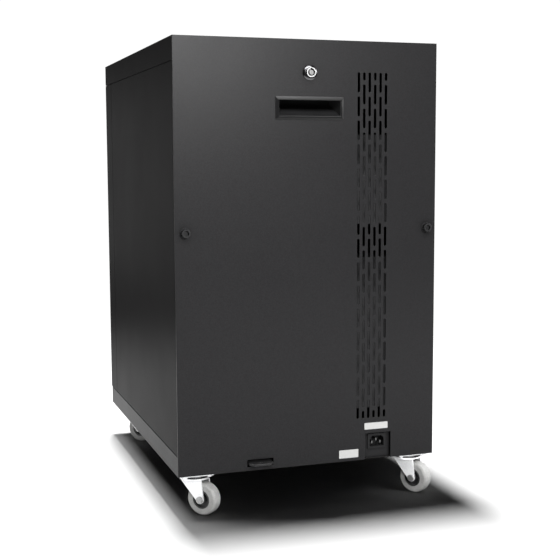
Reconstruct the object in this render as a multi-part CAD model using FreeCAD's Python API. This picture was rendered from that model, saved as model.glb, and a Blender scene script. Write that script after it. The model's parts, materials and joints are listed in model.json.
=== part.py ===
import FreeCAD, Part
import math
import os

Vector = FreeCAD.Vector
AXIS_X = Vector(1, 0, 0)
AXIS_Y = Vector(0, 1, 0)
AXIS_Z = Vector(0, 0, 1)

# Cabinet body, millimetres. The service panel faces -Y and the door faces +Y.
body_width = 420.0
body_depth = 560.0
body_height = 650.0
sheet = 1.5
top_band = 35.0
base_band = 30.0
base_setback = 6.0
seam = 1.5
seam_lap = 12.0
side_setback = 5.0
panel_gap = 0.5

# Clearances
running_fit = 0.08
press_fit = 0.02
swing_clear = 0.6
turning_gap = 0.3

# Inner frames
frame_sheet = 2.0
frame_face = 25.0
rail_cover = 5.0

# Rear panel and its openings
panel_hem = 8.0
vent_columns = 6
vent_first_x = 79.7
vent_column_pitch = 9.0
vent_row_pitch = 36.2
vent_slot_length = 30.0
vent_slot_width = 4.3
vent_top_drop = 46.8
vent_low_margin = 66.0

# Cup handles
cup_bezel_length = 109.0
cup_bezel_height = 34.5
cup_bezel_rise = 2.0
cup_bezel_bevel = 1.2
cup_mouth_length = 97.4
cup_mouth_height = 22.5
cup_wall = 1.8
cup_depth = 20.0
cup_lip = 1.6
cup_scoop_reach = 14.4
cup_scoop_rise = 4.3
cup_scoop_end_drop = 10.0
cup_cutout_gap = 0.2
rear_cup_drop = 101.4
door_cup_drop = 220.0

# Tubular cam locks
door_lock_drop = 105.0
lock_reach = 8.0
lock_flange_radius = 11.3
lock_flange_step = 1.2
lock_dome_rise = 3.2
lock_dome_bulge = 0.3
lock_ring_radius = 7.3
lock_barrel_radius = 9.5
lock_barrel_length = 26.0
lock_plug_radius = 5.6
lock_post_radius = 3.4
lock_groove_depth = 5.5
lock_key_notch = 2.0
lock_stub_radius = 4.0
cam_length = 40.0
cam_width = 16.0
cam_sheet = 2.5
cam_gap = 0.5
cam_rail_gap = 1.3
cam_top_gap = 7.5

# Thumbscrews that hold the rear panel
thumb_height = 365.0
thumb_reach = 8.0
thumb_radius = 7.0
thumb_edge = 0.8
thumb_collar_radius = 8.0
thumb_collar = 1.2
thumb_recess_radius = 4.2
thumb_recess_depth = 4.5
thumb_flutes = 14
thumb_flute_radius = 0.9
thumb_shank_radius = 2.5
thumb_shank_past_frame = 3.0
thumb_hole_clear = 0.5
thumb_travel = 4.0
clip_radius = 5.0
clip_sheet = 1.0
clip_frame_gap = 1.7

# Power inlet and its bracket
inlet_x = 114.1
inlet_height = 27.3
inlet_mouth_width = 24.0
inlet_mouth_height = 16.9
inlet_mouth_corner = 4.0
inlet_wall = 1.6
inlet_flange = 2.0
inlet_flange_rim = 3.5
inlet_mouth_depth = 16.0
inlet_back = 6.0
inlet_bracket_setback = 6.0
inlet_bracket_width = 48.0
inlet_bracket_height = 48.0
inlet_bracket_foot = 24.0
inlet_notch_width = 44.5
inlet_notch_height = 42.0
inlet_pin_width = 2.0
inlet_pin_height = 4.0
inlet_pin_length = 13.0
inlet_pin_spread = 7.0
inlet_pin_drop = 2.0

# Security tab
tab_x = -81.0
tab_width = 38.0
tab_reach = 12.0
tab_sheet = 3.0
tab_height = 9.0
tab_inner = 24.0
tab_chamfer = 7.0
tab_hole_radius = 3.5
tab_hole_inset = 6.0
tab_slot_below = 3.0
tab_slot_above = 5.0
tab_slot_side = 2.0

# Device bays
bay_count = 10
power_bay_depth = 196.5
cable_gap = 57.0
ledge_width = 8.0
shelf_lip = 6.0
shelf_rear_gap = 3.0
shelf_front_gap = 4.0
shelf_side_gap = 0.5

# Rear power compartment
module_vent_margin = 9.7
module_edge_gap = 4.0
module_setback = 14.0
module_wall = 1.5
power_unit_low = 80.0
power_unit_height = 240.0
module_spacing = 52.0
controller_height = 138.0
outlet_rows = 3
outlet_columns = 4
outlet_width = 26.0
outlet_height = 34.0
outlet_depth = 8.0
outlet_end_margin = 11.0
outlet_column_pitch = 40.0
outlet_slot = 2.4
outlet_slot_height = 8.0
outlet_slot_spread = 7.0
adapter_frame_gap = 3.0
adapter_outlet_gap = 22.0
adapter_setback = 32.0
adapter_cam_gap = 33.0
adapter_shelves = 4

# Front door
door_depth = 57.0
door_rim = 12.0
door_end_gap = 1.0
door_pivot_inset = 10.0
door_pivot_back = 40.0
door_pin_radius = 3.0
door_pin_length = 12.0
door_pin_head_radius = 6.0
door_pin_head = 2.0
strike_height = 40.0
strike_lip = 17.0
strike_side_gap = 1.0
strike_tip_gap = 5.0

# Swivel casters
caster_side_gap = 8.0
caster_rear_gap = 4.0
caster_front_inset = 62.0
caster_trail = 17.0
caster_plate_size = 48.0
caster_plate = 2.5
caster_screw_inset = 5.5
caster_screw_radius = 2.5
caster_screw_head_radius = 3.6
caster_screw_head = 2.4
race_radius = 17.0
race_height = 4.2
kingpin_radius = 5.0
kingpin_head_radius = 8.0
kingpin_head = 2.0
fork_radius = 22.8
fork_sheet = 2.5
wheel_side_gap = 0.75
wheel_top_gap = 3.2
fork_end_radius = 6.0
wheel_radius = 25.0
tyre_width = 18.5
tyre_shoulder = 4.0
hub_radius = 14.5
hub_rim = 2.5
hub_web = 8.0
hub_boss_radius = 6.0
axle_radius = 3.0
axle_head_radius = 5.2
axle_head = 3.0

# Direction each caster trails at rest, degrees clockwise from +X seen from above
caster_trail_angles = {
    "rear_left": 46.6,
    "rear_right": 58.3,
    "front_left": 44.0,
    "front_right": 56.0,
}

# Stations worked out from the sizes above
fork_gap = tyre_width + 2 * wheel_side_gap
fork_under_z = 2 * wheel_radius + wheel_top_gap + kingpin_head + turning_gap
fork_top_z = fork_under_z + fork_sheet
race_low_z = fork_top_z + turning_gap
caster_plate_z = race_low_z + race_height
base_z = caster_plate_z + caster_plate
top_z = base_z + body_height
floor_z = base_z + sheet
ceiling_z = top_z - sheet
side_x = body_width / 2
inner_x = side_x - sheet
frame_x = inner_x - sheet
opening_x = frame_x - frame_face
rear_y = -(body_depth + lock_reach - tab_reach) / 2
front_y = rear_y + body_depth
band_rear_y = rear_y + 2 * sheet + panel_gap
base_front_y = front_y - base_setback
partition_y = rear_y + power_bay_depth
partition_front_y = partition_y + sheet
partition_right_x = frame_x - cable_gap

clip_start = sheet + turning_gap + panel_gap + thumb_travel
frame_setback = clip_start + clip_sheet + clip_frame_gap
frame_rear_y = rear_y + frame_setback
plug_back = lock_barrel_length + turning_gap
cam_back = plug_back + cam_sheet
frame_lip = plug_back - cam_rail_gap - frame_setback - frame_sheet

door_rim_y = front_y - door_depth
door_gap = math.hypot(door_pivot_inset, door_pivot_back) - door_pivot_back + swing_clear
frame_front_y = door_rim_y - door_gap
pivot_x = side_x - door_pivot_inset
pivot_y = door_rim_y + door_pivot_back
door_low_z = base_z + base_band + door_end_gap
door_high_z = top_z - top_band - door_end_gap
strike_x = -side_x + door_rim + strike_side_gap
grip_x = strike_x + frame_sheet + strike_tip_gap + cam_length

rear_lock_z = ceiling_z - cam_top_gap - cam_length
rear_cup_z = top_z - rear_cup_drop
door_lock_z = top_z - door_lock_drop
door_cup_z = top_z - door_cup_drop
thumb_x = frame_x - frame_face / 2
thumb_z = base_z + thumb_height
inlet_z = base_z + inlet_height
vent_top_z = top_z - vent_top_drop
vent_run = vent_top_z - base_z - vent_low_margin - vent_slot_length
vent_rows = int(vent_run / vent_row_pitch) + 1

bay_floor_z = base_z + base_band + rail_cover
bay_ceiling_z = top_z - top_band - rail_cover
bay_pitch = (bay_ceiling_z - bay_floor_z) / bay_count
shelf_rear_y = partition_front_y + shelf_rear_gap
shelf_front_y = frame_front_y - frame_sheet - frame_lip - shelf_front_gap

module_left_x = vent_first_x - module_vent_margin
module_right_x = partition_right_x - module_edge_gap
module_rear_y = rear_y + module_setback
power_unit_z = base_z + power_unit_low
controller_z = power_unit_z + power_unit_height + module_spacing
adapter_left_x = frame_sheet + adapter_frame_gap - opening_x
adapter_right_x = module_left_x - outlet_depth - adapter_outlet_gap
adapter_top_z = rear_lock_z - cam_width / 2 - adapter_cam_gap


def block(x, y, z):
    """A box between two values on each axis."""
    low = Vector(min(x), min(y), min(z))
    return Part.makeBox(max(x) - low.x, max(y) - low.y, max(z) - low.z, low)


def rod(radius, start, axis, length):
    return Part.makeCylinder(radius, length, start, axis)


def joined(shapes):
    """One clean solid from shapes that meet."""
    whole = shapes[0].fuse(shapes[1:]) if len(shapes) > 1 else shapes[0]
    return whole.removeSplitter()


def mirrored(shape):
    """The same shape on the other side of the cabinet's middle."""
    return shape.mirror(Vector(0, 0, 0), AXIS_X)


def polygon(points):
    return Part.makePolygon(points + points[:1])


def revolved(profile, axis):
    """A ring from (radius, along) points turned about an axis through the origin along Y."""
    wire = polygon([Vector(radius, along, 0) for radius, along in profile])
    return Part.Face(wire).revolve(Vector(0, 0, 0), axis, 360)


def face_with_arc(middle, corners):
    """A face with straight edges through the corners, closed by an arc from the last to the first."""
    edges = [Part.Arc(corners[-1], middle, corners[0]).toShape()]
    for start, end in zip(corners, corners[1:]):
        edges.append(Part.LineSegment(start, end).toShape())
    return Part.Face(Part.Wire(edges))


def vertical_slot(x, low, high, width, y):
    """A closed outline with straight sides and round ends, in a plane across Y."""
    half = width / 2
    low_left = Vector(x - half, y, low + half)
    low_right = Vector(x + half, y, low + half)
    high_left = Vector(x - half, y, high - half)
    high_right = Vector(x + half, y, high - half)
    edges = [
        Part.Arc(low_left, Vector(x, y, low), low_right).toShape(),
        Part.LineSegment(low_right, high_right).toShape(),
        Part.Arc(high_right, Vector(x, y, high), high_left).toShape(),
        Part.LineSegment(high_left, low_left).toShape(),
    ]
    return Part.Wire(edges)


def on_door(shape, x, z):
    """Turns a fitting made for the rear panel's face round to the door's face."""
    shape = shape.copy()
    shape.rotate(Vector(0, 0, 0), AXIS_Z, 180)
    shape.translate(Vector(x, front_y, z))
    return shape


def on_panel(shape, x, z):
    shape = shape.copy()
    shape.translate(Vector(x, rear_y, z))
    return shape


def upright(shape):
    """Stands a fitting that lies along X on its end."""
    shape = shape.copy()
    shape.rotate(Vector(0, 0, 0), AXIS_Y, 90)
    return shape


# Folded steel body

def make_top_cover():
    lip_z = top_z - top_band
    depth = (band_rear_y, front_y)
    cover = joined([
        block((-side_x, side_x), depth, (ceiling_z, top_z)),
        block((-side_x, -inner_x), depth, (lip_z, top_z)),
        block((inner_x, side_x), depth, (lip_z, top_z)),
        block((-side_x, side_x), (front_y - sheet, front_y), (lip_z, top_z)),
        block((-side_x, side_x), (frame_front_y, front_y), (lip_z, lip_z + sheet)),
    ])
    hole = rod(door_pin_radius + press_fit, Vector(pivot_x, pivot_y, lip_z - sheet), AXIS_Z, 3 * sheet)
    return cover.cut(hole)


def make_base_tray():
    sill_z = base_z + base_band
    depth = (band_rear_y, base_front_y)
    tray = joined([
        block((-side_x, side_x), depth, (base_z, floor_z)),
        block((-side_x, -inner_x), depth, (base_z, sill_z)),
        block((inner_x, side_x), depth, (base_z, sill_z)),
        block((-side_x, side_x), (base_front_y - sheet, base_front_y), (base_z, sill_z)),
        block((-side_x, side_x), (frame_front_y, base_front_y), (sill_z - sheet, sill_z)),
    ])
    pin_start = Vector(pivot_x, pivot_y, sill_z - 2 * sheet)
    holes = [rod(door_pin_radius + press_fit, pin_start, AXIS_Z, 3 * sheet)]
    for x, y in caster_screw_places():
        holes.append(rod(caster_screw_radius + press_fit, Vector(x, y, base_z - sheet), AXIS_Z, 3 * sheet))
    return tray.cut(holes)


def make_right_side_panel():
    low = base_z + base_band + seam
    high = top_z - top_band - seam
    depth = (rear_y + side_setback, frame_front_y)
    lap_x = (frame_x, inner_x)
    return joined([
        block((inner_x, side_x), depth, (low, high)),
        block(lap_x, depth, (high - seam_lap, high + seam + seam_lap)),
        block(lap_x, depth, (low - seam - seam_lap, low + seam_lap)),
    ])


def make_rear_frame():
    """Two stiles and a top rail behind the rear panel, with a lip round the opening."""
    face_y = (frame_rear_y, frame_rear_y + frame_sheet)
    lip_y = (frame_rear_y, frame_rear_y + frame_sheet + frame_lip)
    rail_z = ceiling_z - frame_face
    lip_x = opening_x - frame_sheet
    pieces = [
        block((-frame_x, frame_x), face_y, (rail_z, ceiling_z)),
        block((-opening_x, opening_x), lip_y, (rail_z - frame_sheet, rail_z)),
    ]
    for side in (-1, 1):
        pieces.append(block((side * opening_x, side * frame_x), face_y, (floor_z, ceiling_z)))
        pieces.append(block((side * lip_x, side * opening_x), lip_y, (floor_z, rail_z)))
    frame = joined(pieces)
    holes = []
    for side in (-1, 1):
        start = Vector(side * thumb_x, frame_rear_y - frame_sheet, thumb_z)
        holes.append(rod(thumb_shank_radius + thumb_hole_clear, start, AXIS_Y, 3 * frame_sheet))
    return frame.cut(holes)


def make_front_frame():
    """A ring behind the door, with a lip round the opening and the lock's strike folded from it."""
    face_y = (frame_front_y - frame_sheet, frame_front_y)
    lip_y = (frame_front_y - frame_sheet - frame_lip, frame_front_y)
    lip_x = opening_x - frame_sheet
    face = block((-frame_x, frame_x), face_y, (floor_z, ceiling_z))
    collar = block((-opening_x, opening_x), lip_y, (bay_floor_z, bay_ceiling_z))
    hole_z = (bay_floor_z + frame_sheet, bay_ceiling_z - frame_sheet)
    hole_y = (lip_y[0] - sheet, frame_front_y + sheet)
    frame = joined([face, collar]).cut(block((-lip_x, lip_x), hole_y, hole_z))
    hook_y = front_y - plug_back + cam_gap
    height = (door_lock_z - strike_height / 2, door_lock_z + strike_height / 2)
    web = block((strike_x, strike_x + frame_sheet), (face_y[0], hook_y + frame_sheet), height)
    hook = block((strike_x, strike_x + strike_lip), (hook_y, hook_y + frame_sheet), height)
    return joined([frame, web, hook])


def make_partition():
    """The wall between the device bays and the power compartment, short of the right side for leads."""
    return block((-frame_x, partition_right_x), (partition_y, partition_front_y), (floor_z, ceiling_z))


# Device bays

def shelf_z(index):
    return bay_floor_z + index * bay_pitch


def make_right_shelf_rack():
    web_y = (partition_front_y, frame_front_y - frame_sheet)
    ledge_x = (opening_x - ledge_width, opening_x)
    ledge_y = (shelf_rear_y, shelf_front_y - sheet)
    pieces = [block((opening_x, opening_x + sheet), web_y, (floor_z, ceiling_z))]
    for index in range(bay_count):
        level = shelf_z(index)
        pieces.append(block(ledge_x, ledge_y, (level - sheet, level)))
    return joined(pieces)


def make_shelf(index):
    half = opening_x - shelf_side_gap
    level = shelf_z(index)
    lip_y = (shelf_front_y - sheet, shelf_front_y)
    return joined([
        block((-half, half), (shelf_rear_y, shelf_front_y), (level, level + sheet)),
        block((-half, half), lip_y, (level - shelf_lip, level + sheet)),
    ])


# Rear power compartment

def make_module(low, height):
    """A sheet box with its open side closed by the partition."""
    x = (module_left_x, module_right_x)
    y = (module_rear_y, partition_y)
    z = (low, low + height)
    inside = block(
        (x[0] + module_wall, x[1] - module_wall),
        (y[0] + module_wall, y[1] + module_wall),
        (z[0] + module_wall, z[1] - module_wall),
    )
    return block(x, y, z).cut(inside)


def make_outlet():
    """One outlet insert facing -X, with its three blade slots."""
    half_width = outlet_width / 2
    half_height = outlet_height / 2
    body = block((-outlet_depth, 0), (-half_width, half_width), (-half_height, half_height))
    reach = (-outlet_depth, -outlet_depth / 2)
    half = outlet_slot / 2
    slots = []
    for side in (-1, 0, 1):
        y = side * outlet_slot_spread
        high = outlet_slot_height if side else 0
        slots.append(block(reach, (y - half, y + half), (high - outlet_slot_height, high)))
    return body.cut(slots)


def make_outlet_sockets():
    middle_y = (module_rear_y + partition_y) / 2
    first_z = power_unit_z + outlet_end_margin + outlet_height / 2
    row_pitch = (power_unit_height - outlet_height - 2 * outlet_end_margin) / (outlet_rows - 1)
    outlets = []
    for column in range(outlet_columns):
        for row in range(outlet_rows):
            outlet = make_outlet()
            y = middle_y + (column - (outlet_columns - 1) / 2) * outlet_column_pitch
            outlet.translate(Vector(module_left_x, y, first_z + row * row_pitch))
            outlets.append(outlet)
    return Part.Compound(outlets)


def make_adapter_rack():
    """Two uprights on the base, and shelves that butt between them, for the power adapters."""
    inside = (adapter_left_x + sheet, adapter_right_x - sheet)
    depth = (rear_y + adapter_setback, partition_y)
    height = (floor_z, adapter_top_z)
    pitch = (height[1] - height[0]) / (adapter_shelves + 1)
    pieces = [
        block((adapter_left_x, inside[0]), depth, height),
        block((inside[1], adapter_right_x), depth, height),
    ]
    for index in range(1, adapter_shelves + 1):
        level = floor_z + index * pitch
        pieces.append(block(inside, depth, (level - sheet, level)))
    return Part.Compound(pieces)


def make_inlet_bracket():
    face_y = rear_y + inlet_bracket_setback
    x = (inlet_x - inlet_bracket_width / 2, inlet_x + inlet_bracket_width / 2)
    plate = block(x, (face_y, face_y + sheet), (floor_z, base_z + inlet_bracket_height))
    foot = block(x, (face_y, face_y + inlet_bracket_foot), (floor_z, floor_z + sheet))
    half_x = inlet_mouth_width / 2 + inlet_wall + press_fit
    half_z = inlet_mouth_height / 2 + inlet_wall + press_fit
    window = block(
        (inlet_x - half_x, inlet_x + half_x),
        (face_y - sheet, face_y + 2 * sheet),
        (inlet_z - half_z, inlet_z + half_z),
    )
    return joined([plate, foot]).cut(window)


def inlet_outline(margin, y):
    """The inlet's mouth, with its two upper corners cut off, grown by a margin."""
    half_x = inlet_mouth_width / 2 + margin
    half_z = inlet_mouth_height / 2 + margin
    points = [
        (-half_x, -half_z),
        (half_x, -half_z),
        (half_x, half_z - inlet_mouth_corner),
        (half_x - inlet_mouth_corner, half_z),
        (inlet_mouth_corner - half_x, half_z),
        (-half_x, half_z - inlet_mouth_corner),
    ]
    return Part.Face(polygon([Vector(inlet_x + x, y, inlet_z + z) for x, z in points]))


def inlet_front_y():
    return rear_y + inlet_bracket_setback - inlet_flange


def make_power_inlet():
    front = inlet_front_y()
    body_length = inlet_mouth_depth + inlet_back
    body = inlet_outline(inlet_wall, front).extrude(Vector(0, body_length, 0))
    half_x = inlet_mouth_width / 2 + inlet_flange_rim
    half_z = inlet_mouth_height / 2 + inlet_flange_rim
    flange = block(
        (inlet_x - half_x, inlet_x + half_x),
        (front, front + inlet_flange),
        (inlet_z - half_z, inlet_z + half_z),
    )
    mouth = inlet_outline(0, front).extrude(Vector(0, inlet_mouth_depth, 0))
    return joined([body, flange]).cut(mouth)


def make_inlet_pins():
    """Three blades standing on the floor of the inlet's mouth."""
    floor_y = inlet_front_y() + inlet_mouth_depth
    pins = []
    for side in (-1, 0, 1):
        x = inlet_x + side * inlet_pin_spread
        z = inlet_z + (inlet_pin_drop if side == 0 else -inlet_pin_drop)
        pins.append(block(
            (x - inlet_pin_width / 2, x + inlet_pin_width / 2),
            (floor_y - inlet_pin_length, floor_y),
            (z - inlet_pin_height / 2, z + inlet_pin_height / 2),
        ))
    return Part.Compound(pins)


def make_security_tab():
    """A folded tongue that passes through the rear panel and takes a padlock or a cable."""
    low = base_z + tab_height
    high = low + tab_sheet
    left = tab_x - tab_width / 2
    right = tab_x + tab_width / 2
    out_y = rear_y - tab_reach
    in_y = rear_y + tab_inner
    outline = polygon([
        Vector(left + tab_chamfer, out_y, low),
        Vector(right - tab_chamfer, out_y, low),
        Vector(right, out_y + tab_chamfer, low),
        Vector(right, in_y, low),
        Vector(left, in_y, low),
        Vector(left, out_y + tab_chamfer, low),
    ])
    tongue = Part.Face(outline).extrude(Vector(0, 0, tab_sheet))
    leg = block((left, right), (in_y - tab_sheet, in_y), (floor_z, high))
    hole_start = Vector(tab_x, out_y + tab_hole_inset, low - tab_sheet)
    hole = rod(tab_hole_radius, hole_start, AXIS_Z, 3 * tab_sheet)
    return joined([tongue, leg]).cut(hole)


# Rear panel

def vent_spans(shift):
    """Ends of the slots in one column, cut off at the field's top and bottom."""
    bottom = vent_top_z - (vent_rows - 1) * vent_row_pitch - vent_slot_length
    spans = []
    for row in range(vent_rows + 1):
        high = vent_top_z + shift - row * vent_row_pitch
        low = max(high - vent_slot_length, bottom)
        high = min(high, vent_top_z)
        if high - low > vent_slot_width:
            spans.append((low, high))
    return spans


def vent_outlines():
    outlines = []
    for column in range(vent_columns):
        x = vent_first_x + column * vent_column_pitch
        shift = vent_row_pitch / 2 if column % 2 else 0.0
        for low, high in vent_spans(shift):
            outlines.append(vertical_slot(x, low, high, vent_slot_width, rear_y))
    return outlines


def rectangle(x, z):
    corners = [(x[0], z[0]), (x[1], z[0]), (x[1], z[1]), (x[0], z[1])]
    return polygon([Vector(across, rear_y, up) for across, up in corners])


def circle(x, z, radius):
    return Part.Wire(Part.makeCircle(radius, Vector(x, rear_y, z), AXIS_Y))


def make_rear_panel():
    """A flat sheet over the whole rear, hemmed at its sides and top, with every opening cut through."""
    notch = (inlet_x - inlet_notch_width / 2, inlet_x + inlet_notch_width / 2)
    notch_z = base_z + inlet_notch_height
    outline = polygon([
        Vector(-side_x, rear_y, base_z),
        Vector(notch[0], rear_y, base_z),
        Vector(notch[0], rear_y, notch_z),
        Vector(notch[1], rear_y, notch_z),
        Vector(notch[1], rear_y, base_z),
        Vector(side_x, rear_y, base_z),
        Vector(side_x, rear_y, top_z),
        Vector(-side_x, rear_y, top_z),
    ])
    cup_x, cup_low, cup_high = cup_cutout()
    tab_half = tab_width / 2 + tab_slot_side
    tab_z = base_z + tab_height
    slot_z = (tab_z - tab_slot_below, tab_z + tab_sheet + tab_slot_above)
    holes = vent_outlines()
    holes.append(rectangle((-cup_x, cup_x), (rear_cup_z + cup_low, rear_cup_z + cup_high)))
    holes.append(rectangle((tab_x - tab_half, tab_x + tab_half), slot_z))
    holes.append(circle(0, rear_lock_z, lock_barrel_radius + press_fit))
    for side in (-1, 1):
        holes.append(circle(side * thumb_x, thumb_z, thumb_shank_radius + thumb_hole_clear))
    face = Part.makeFace([outline] + holes, "Part::FaceMakerBullseye")
    hem_y = (rear_y + sheet, rear_y + 2 * sheet)
    hem_x = side_x - panel_hem
    return joined([
        face.extrude(Vector(0, sheet, 0)),
        block((-side_x, -hem_x), hem_y, (base_z, top_z)),
        block((hem_x, side_x), hem_y, (base_z, top_z)),
        block((-side_x, side_x), hem_y, (top_z - panel_hem, top_z)),
    ])


# Cup handle, made lying along X with its face at y = 0 and its cup towards +Y

def cup_cutout():
    """Half length, lowest and highest edge of the hole that the cup goes through."""
    half = cup_mouth_length / 2 + cup_wall + cup_cutout_gap
    low = -cup_mouth_height / 2 - cup_wall - cup_cutout_gap
    high = cup_mouth_height / 2 + cup_lip + cup_wall + cup_cutout_gap
    return half, low, high


def make_cup():
    half_mouth = cup_mouth_height / 2
    half_length = cup_mouth_length / 2
    cut_x, cut_low, cut_high = cup_cutout()
    shell = block(
        (cup_cutout_gap - cut_x, cut_x - cup_cutout_gap),
        (0, cup_depth + cup_wall),
        (cut_low + cup_cutout_gap, cut_high - cup_cutout_gap),
    )
    bezel = block(
        (-cup_bezel_length / 2, cup_bezel_length / 2),
        (-cup_bezel_rise, 0),
        (-cup_bezel_height / 2, cup_bezel_height / 2),
    )
    front_edges = [edge for edge in bezel.Edges if edge.BoundBox.YMax < 0]
    bezel = bezel.makeChamfer(cup_bezel_bevel, front_edges)
    left = -half_length
    scoop_middle = Vector(left, cup_scoop_reach, cup_scoop_rise - half_mouth)
    hollow = face_with_arc(scoop_middle, [
        Vector(left, cup_depth, half_mouth + cup_lip - cup_scoop_end_drop),
        Vector(left, cup_depth, half_mouth + cup_lip),
        Vector(left, 0, half_mouth + cup_lip),
        Vector(left, 0, half_mouth),
        Vector(left, -2 * cup_bezel_rise, half_mouth),
        Vector(left, -2 * cup_bezel_rise, -half_mouth),
        Vector(left, 0, -half_mouth),
    ])
    return joined([shell, bezel]).cut(hollow.extrude(Vector(cup_mouth_length, 0, 0)))


# Cam lock, made with its axis along Y, its flange at y = 0 and its barrel towards +Y

def make_lock_housing():
    """A barrel with a domed flange, and a raised ring round the key's groove."""
    bore = lock_plug_radius + running_fit
    dome_start = Vector(lock_ring_radius, -lock_dome_rise, 0)
    dome_end = Vector(lock_flange_radius, -lock_flange_step, 0)
    outward = (dome_end - dome_start).cross(AXIS_Z).normalize()
    dome_middle = (dome_start + dome_end) * 0.5 + outward * lock_dome_bulge
    profile = face_with_arc(dome_middle, [
        dome_end,
        Vector(lock_flange_radius, 0, 0),
        Vector(lock_barrel_radius, 0, 0),
        Vector(lock_barrel_radius, lock_barrel_length, 0),
        Vector(bore, lock_barrel_length, 0),
        Vector(bore, -lock_reach, 0),
        Vector(lock_ring_radius, -lock_reach, 0),
        dome_start,
    ])
    housing = profile.revolve(Vector(0, 0, 0), AXIS_Y, 360)
    half = lock_key_notch / 2
    depth = (-lock_reach - sheet, -lock_reach + lock_groove_depth)
    notch = block((-half, half), depth, (0, (bore + lock_ring_radius) / 2))
    return housing.cut(notch)


def make_lock_plug():
    face = -lock_reach + lock_groove_depth
    return joined([
        rod(lock_plug_radius, Vector(0, face, 0), AXIS_Y, plug_back - face),
        rod(lock_post_radius, Vector(0, -lock_reach, 0), AXIS_Y, lock_groove_depth + sheet),
        rod(lock_stub_radius, Vector(0, plug_back - sheet, 0), AXIS_Y, cam_sheet + 2 * sheet),
    ])


def make_lock_cam():
    """A flat lever along +X on the plug's stub."""
    half = cam_width / 2
    arm = block((0, cam_length - half), (plug_back, cam_back), (-half, half))
    start = Vector(0, plug_back, 0)
    tip = Vector(cam_length - half, plug_back, 0)
    whole = joined([arm, rod(half, start, AXIS_Y, cam_sheet), rod(half, tip, AXIS_Y, cam_sheet)])
    hole = rod(lock_stub_radius + press_fit, Vector(0, plug_back - sheet, 0), AXIS_Y, cam_sheet + 2 * sheet)
    return whole.cut(hole)


# Thumbscrews, made with their axis along Y and the panel's face at y = 0

def make_thumbscrew():
    head_y = -turning_gap - thumb_collar
    tip_y = frame_setback + frame_sheet + thumb_shank_past_frame
    head_length = thumb_reach + head_y
    head = rod(thumb_radius, Vector(0, -thumb_reach, 0), AXIS_Y, head_length)
    front_edges = [edge for edge in head.Edges if edge.BoundBox.YMax < head_y - head_length / 2]
    head = head.makeChamfer(thumb_edge, front_edges)
    flutes = []
    for index in range(thumb_flutes):
        turn = 2 * math.pi * index / thumb_flutes
        place = Vector(thumb_radius * math.cos(turn), -thumb_reach - sheet, thumb_radius * math.sin(turn))
        flutes.append(rod(thumb_flute_radius, place, AXIS_Y, head_length + sheet))
    head = head.cut(flutes)
    recess = rod(thumb_recess_radius, Vector(0, -thumb_reach - sheet, 0), AXIS_Y, thumb_recess_depth + sheet)
    collar = rod(thumb_collar_radius, Vector(0, head_y, 0), AXIS_Y, thumb_collar)
    shank = rod(thumb_shank_radius, Vector(0, head_y, 0), AXIS_Y, tip_y - head_y)
    return joined([head.cut(recess), collar, shank])


def make_screw_clip():
    """A retaining ring on the shank behind the panel, which stops the screw falling out."""
    ring = rod(clip_radius, Vector(0, clip_start, 0), AXIS_Y, clip_sheet)
    hole_start = Vector(0, clip_start - clip_sheet, 0)
    hole = rod(thumb_shank_radius + running_fit, hole_start, AXIS_Y, 3 * clip_sheet)
    return ring.cut(hole)


# Front door

def make_front_door():
    """A deep pan, open at the back, with a rim turned inwards."""
    height = (door_low_z, door_high_z)
    pan = block((-side_x, side_x), (door_rim_y, front_y), height)
    hollow = block(
        (-inner_x, inner_x),
        (door_rim_y + sheet, front_y - sheet),
        (door_low_z + sheet, door_high_z - sheet),
    )
    mouth = block(
        (door_rim - side_x, side_x - door_rim),
        (door_rim_y - sheet, door_rim_y + 2 * sheet),
        (door_low_z + door_rim, door_high_z - door_rim),
    )
    cup_half, cup_low, cup_high = cup_cutout()
    cup_hole = block((-cup_half, cup_half), (-sheet, 2 * sheet), (cup_low, cup_high))
    lock_hole = rod(lock_barrel_radius + press_fit, Vector(0, -sheet, 0), AXIS_Y, 3 * sheet)
    pin_hole = rod(door_pin_radius + running_fit, Vector(pivot_x, pivot_y, base_z), AXIS_Z, body_height)
    return pan.cut([
        hollow,
        mouth,
        on_door(upright(cup_hole), grip_x, door_cup_z),
        on_door(lock_hole, grip_x, door_lock_z),
        pin_hole,
    ])


def make_door_pins():
    """Two headed pins, one down from the top cover and one up from the base, that the door turns on."""
    sill_z = base_z + base_band
    collar = door_end_gap - turning_gap
    low_start = Vector(pivot_x, pivot_y, sill_z - sheet)
    low_length = sheet + door_end_gap + door_pin_length
    low = joined([
        rod(door_pin_radius, low_start, AXIS_Z, low_length),
        rod(door_pin_head_radius, low_start - AXIS_Z * door_pin_head, AXIS_Z, door_pin_head),
        rod(door_pin_head_radius, Vector(pivot_x, pivot_y, sill_z), AXIS_Z, collar),
    ])
    lip_top = top_z - top_band + sheet
    high_start = Vector(pivot_x, pivot_y, lip_top - low_length)
    high = joined([
        rod(door_pin_radius, high_start, AXIS_Z, low_length),
        rod(door_pin_head_radius, Vector(pivot_x, pivot_y, lip_top), AXIS_Z, door_pin_head),
    ])
    return Part.Compound([low, high])


# Casters, made about their swivel axis with the wheel trailing along +X

def caster_places():
    x = side_x - caster_plate_size / 2 - caster_side_gap
    rear = rear_y + caster_plate_size / 2 + caster_rear_gap
    front = front_y - caster_front_inset
    return {
        "rear_left": (-x, rear),
        "rear_right": (x, rear),
        "front_left": (-x, front),
        "front_right": (x, front),
    }


def caster_screw_places():
    reach = caster_plate_size / 2 - caster_screw_inset
    places = []
    for x, y in caster_places().values():
        for side in (-1, 1):
            for end in (-1, 1):
                places.append((x + side * reach, y + end * reach))
    return places


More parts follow.
